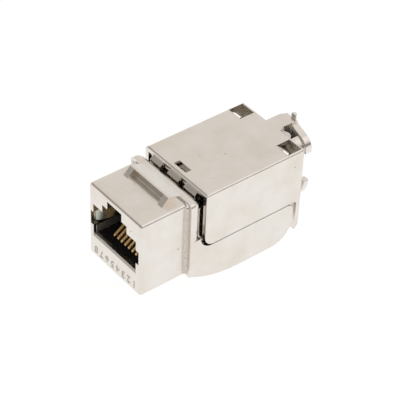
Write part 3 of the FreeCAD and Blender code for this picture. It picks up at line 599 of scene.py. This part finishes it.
class JACK_OT_throat(bpy.types.Operator):
    """Line the lower side walls of the plug opening with the casting's own metal"""
    bl_idname = "jack.throat"
    bl_label = "Throat lining"

    def execute(self, context):
        plating = bpy.data.materials["nickel_plated_zinc"]
        (front, back), (bottom, top) = LINING_ALONG, LINING_RISE
        outline = [(front, bottom), (back, bottom), (back, top), (front, top)]
        proud, sunk = OPENING_HALF - 0.04, OPENING_HALF + 0.01
        for name, start, end in (("left_throat_lining", -sunk, -proud),
                                 ("right_throat_lining", proud, sunk)):
            mesh = swept_mesh(name, outline, start, end,
                              lambda a, b, level: (level * MM, a * MM, b * MM))
            new_piece(name, mesh, "housing", plating)
        return {"FINISHED"}


class JACK_OT_lips(bpy.types.Operator):
    """Lay thin punched lips at the openings of the cover, pale to paint their highlight"""
    bl_idname = "jack.lips"
    bl_label = "Punched lips"

    def execute(self, context):
        look = context.scene.jack_finish
        # both finishes are pale to paint the lips' highlight; the tie slot's, with little metal, is
        # a painted white highlight
        finishes = {"nickel_with_painted_highlight": nickel_with_painted_highlight("nickel_with_painted_highlight", look, 1.0),
                    "white_painted_highlight": nickel_with_painted_highlight("white_painted_highlight", look, 0.1)}
        steps = 16
        turns = [math.pi * i / steps for i in range(steps + 1)]
        for name, left, right, front, length, height, rear_fall, side_fall, finish in PUNCHED_LIPS:
            middle, half = (left + right) / 2, (right - left) / 2
            outline = [(middle + half * math.cos(t), length * math.sin(t)) for t in turns]
            mesh = swept_mesh(name, outline, *LIP_SKIN, lambda a, b, level: (
                a * MM, (front + b) * MM,
                (height + level - rear_fall * b - side_fall * (a - left)) * MM))
            new_piece(name, mesh, "cover", finishes[finish])
        return {"FINISHED"}


class JACK_OT_solder(bpy.types.Operator):
    """Solder the eight contact tails to the board"""
    bl_idname = "jack.solder"
    bl_label = "Solder joints"

    def execute(self, context):
        detail = context.scene.jack_detail
        tree = row_tree("solder_row", solder_shape, soft_solder(), [
            ("Radius", "NodeSocketFloat", 0.0004), ("Shape", "NodeSocketVector", None)])
        first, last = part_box("contact_1"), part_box("contact_8")
        start = (first[0][0] + first[1][0]) / 2
        pitch = ((last[0][0] + last[1][0]) / 2 - start) / 7
        tail = first[1][1] - CONTACT_THICK / 2 * MM
        mesh = grown_mesh("solder_joints", tree, {
            "Count": 8, "Start": (start, tail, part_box("circuit_board")[1][2]),
            "Step": (pitch, 0.0, 0.0), "Radius": detail.solder_radius * MM,
            "Shape": (1.0, 1.2, 0.6)})
        new_piece("solder_joints", mesh, "housing")
        return {"FINISHED"}


class JACK_OT_marks(bpy.types.Operator):
    """Print the pair colours beside the wire slots of the terminal block"""
    bl_idname = "jack.marks"
    bl_label = "Wire colour marks"

    def execute(self, context):
        detail = context.scene.jack_detail
        first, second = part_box("idc_1"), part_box("idc_2")
        slot = (first[0][1] + first[1][1]) / 2
        pitch = second[0][1] - first[0][1]
        ink = printed_marks(slot / MM, pitch / MM)
        tree = row_tree("mark_row", mark_shape, ink, [("Size", "NodeSocketVector", None)])
        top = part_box("idc_block")[1][2]
        for side, name in ((-1, "left_wire_marks"), (1, "right_wire_marks")):
            mesh = grown_mesh(name, tree, {
                "Count": 4, "Step": (0.0, pitch, 0.0),
                "Start": (side * detail.mark_side * MM, slot + detail.mark_offset * MM, top),
                "Size": (detail.mark_length * MM, detail.mark_width * MM,
                         detail.mark_thickness * MM)})
            new_piece(name, mesh, "housing")
        return {"FINISHED"}


class JACK_OT_stage(bpy.types.Operator):
    """Make the floor, the light and the camera"""
    bl_idname = "jack.stage"
    bl_label = "Studio"

    def execute(self, context):
        stage = context.scene.jack_stage
        make_floor(stage)
        make_lights()
        make_world(context.scene)
        make_camera(context.scene, stage)
        context.scene.view_settings.view_transform = "Standard"
        return {"FINISHED"}


def make_floor(stage):
    """A plain white floor that stays white to the eye and in reflections."""
    half = stage.floor_size / 2
    mesh = bpy.data.meshes.new("floor")
    mesh.from_pydata([(-half, -half, 0), (half, -half, 0), (half, half, 0), (-half, half, 0)], [],
                     [(0, 1, 2, 3)])
    floor = bpy.data.objects.new("floor", mesh)
    bpy.context.scene.collection.objects.link(floor)
    material, tree, output = new_material("white_studio_paper")
    path = tree.nodes.new("ShaderNodeLightPath")
    seen = add_node(tree, "ShaderNodeMath", {"operation": "MAXIMUM"},
                    {0: path.outputs["Is Camera Ray"], 1: path.outputs["Is Glossy Ray"]})
    share = add_node(tree, "ShaderNodeMath", {"operation": "MULTIPLY"},
                     {0: seen.outputs[0], 1: FLOOR_GLOW_SHARE})
    paper = add_node(tree, "ShaderNodeBsdfDiffuse", {}, {"Color": linear("F2F2F2")})
    glow = add_node(tree, "ShaderNodeEmission", {}, {"Strength": FLOOR_GLOW})
    both = add_node(tree, "ShaderNodeMixShader", {}, {0: share.outputs[0], 1: paper.outputs[0],
                                                      2: glow.outputs[0]})
    tree.links.new(both.outputs[0], output.inputs["Surface"])
    mesh.materials.append(material)


def add_area_light(name, place, size, power):
    """A square soft box that faces the jack."""
    data = bpy.data.lights.new(name, "AREA")
    data.size = size
    data.energy = power
    light = bpy.data.objects.new(name, data)
    light.location = place
    towards = Vector((0, 0, 0.01)) - Vector(place)
    light.rotation_euler = towards.to_track_quat("-Z", "Y").to_euler()
    bpy.context.scene.collection.objects.link(light)


def make_lights():
    """A weak and wide soft box high on the right."""
    add_area_light("soft_box_right", (0.35, 0.25, 0.55), 0.5, 0.2)


def make_world(scene):
    """A white room, a little darker overhead, with a dark doorway on the right."""
    world = bpy.data.worlds.new("studio")
    world.use_nodes = True
    tree = world.node_tree
    tree.nodes.clear()
    output = tree.nodes.new("ShaderNodeOutputWorld")
    way = tree.nodes.new("ShaderNodeTexCoord")
    axes = add_node(tree, "ShaderNodeSeparateXYZ", {}, {0: way.outputs["Generated"]})
    rear = spread(tree, axes.outputs["Y"], -0.4, 0.25, 0.0, 1.0)
    haze = spread(tree, axes.outputs["Z"], 0.06, 0.16, 1.3, 0.85)
    overhead = mixed(tree, rear.outputs["Result"], DARK_CEILING, PALE_CEILING)
    rise = spread(tree, axes.outputs["Z"], 0.2, 0.5, 0.0, 1.0)
    low = mixed(tree, rear.outputs["Result"], WHITE, haze.outputs["Result"])
    room = mixed(tree, rise.outputs["Result"], low, overhead)
    side = spread(tree, axes.outputs["X"], 0.45, 0.65, 0.0, 1.0)
    level = spread(tree, axes.outputs["Z"], 0.22, 0.34, 1.0, 0.0)
    doorway = add_node(tree, "ShaderNodeMath", {"operation": "MULTIPLY"}, {
        0: side.outputs["Result"], 1: level.outputs["Result"]})
    room = mixed(tree, doorway.outputs[0], room, DOORWAY)
    path = tree.nodes.new("ShaderNodeLightPath")
    colour = mixed(tree, path.outputs["Is Camera Ray"], room, WHITE)
    light = add_node(tree, "ShaderNodeBackground", {}, {"Color": colour, "Strength": 1.0})
    tree.links.new(light.outputs[0], output.inputs["Surface"])
    scene.world = world


def make_camera(scene, stage):
    """The camera, aimed at the middle of the jack."""
    az, el, roll = stage.azimuth, stage.elevation, stage.roll
    back = Vector((math.cos(el) * math.sin(az), -math.cos(el) * math.cos(az), math.sin(el)))
    right = Vector((math.cos(az), math.sin(az), 0))
    up = back.cross(right)
    turned = right * math.cos(roll) + up * math.sin(roll)
    level = up * math.cos(roll) - right * math.sin(roll)
    data = bpy.data.cameras.new("camera")
    data.lens = stage.lens
    data.clip_start = 0.01
    camera = bpy.data.objects.new("camera", data)
    place = Vector(stage.aim) + back * stage.distance
    camera.matrix_world = Matrix((
        (turned.x, level.x, back.x, place.x),
        (turned.y, level.y, back.y, place.y),
        (turned.z, level.z, back.z, place.z),
        (0, 0, 0, 1)))
    scene.collection.objects.link(camera)
    scene.camera = camera


class JACK_PT_panel(bpy.types.Panel):
    """The sidebar panel with a button for each step"""
    bl_idname = "JACK_PT_panel"
    bl_label = "Keystone Jack"
    bl_space_type = "VIEW_3D"
    bl_region_type = "UI"
    bl_category = "Jack"

    def draw(self, context):
        for step in STEPS:
            self.layout.operator(step.bl_idname)


STEPS = (JACK_OT_plating, JACK_OT_steel, JACK_OT_plastics, JACK_OT_contacts,
         JACK_OT_numerals, JACK_OT_fillets, JACK_OT_throat, JACK_OT_lips,
         JACK_OT_solder, JACK_OT_marks, JACK_OT_stage)
CLASSES = (FinishSettings, DetailSettings, StageSettings, *STEPS, JACK_PT_panel)


def register():
    """Register the classes and the settings."""
    for item in CLASSES:
        bpy.utils.register_class(item)
    bpy.types.Scene.jack_finish = PointerProperty(type=FinishSettings)
    bpy.types.Scene.jack_detail = PointerProperty(type=DetailSettings)
    bpy.types.Scene.jack_stage = PointerProperty(type=StageSettings)


def unregister():
    """Take the classes and the settings away again."""
    del bpy.types.Scene.jack_stage
    del bpy.types.Scene.jack_detail
    del bpy.types.Scene.jack_finish
    for item in reversed(CLASSES):
        bpy.utils.unregister_class(item)


def main():
    """Make the whole scene."""
    register()
    bpy.ops.jack.plating()
    bpy.ops.jack.steel()
    bpy.ops.jack.plastics()
    bpy.ops.jack.contacts()
    bpy.ops.jack.numerals()
    bpy.ops.jack.fillets()
    bpy.ops.jack.throat()
    bpy.ops.jack.lips()
    bpy.ops.jack.solder()
    bpy.ops.jack.marks()
    bpy.ops.jack.stage()


if __name__ == "__main__":
    main()
